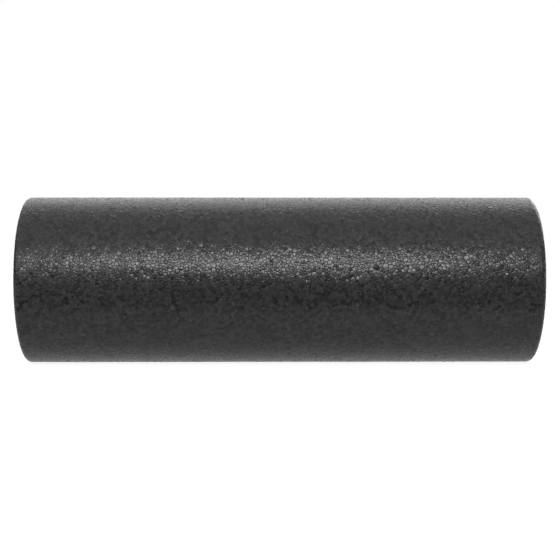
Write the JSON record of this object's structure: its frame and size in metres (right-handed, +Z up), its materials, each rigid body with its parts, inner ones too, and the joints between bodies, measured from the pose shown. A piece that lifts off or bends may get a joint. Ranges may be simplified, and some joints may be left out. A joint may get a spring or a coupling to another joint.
{
  "type": "foam roller",
  "caption": "Plain black cylindrical foam roller with rounded end edges and a pebbled bead-foam skin, for massage, stretching and balance exercise.",
  "frame": {"origin": "middle of the roller's axis, at the centre of its bounding box", "axes": "+X along the roller's axis towards the end with the filling port marks, +Z up with the roller lying down, +Y completes the right-handed set"},
  "size_m": [0.457, 0.15, 0.15],
  "materials": {
    "black_bead_foam": "moulded bead foam: fused beads of about 3 mm with fine dark joints, satin skin"
  },
  "bodies": {
    "root": {"foam_body": "black_bead_foam"}
  },
  "joints": []
}
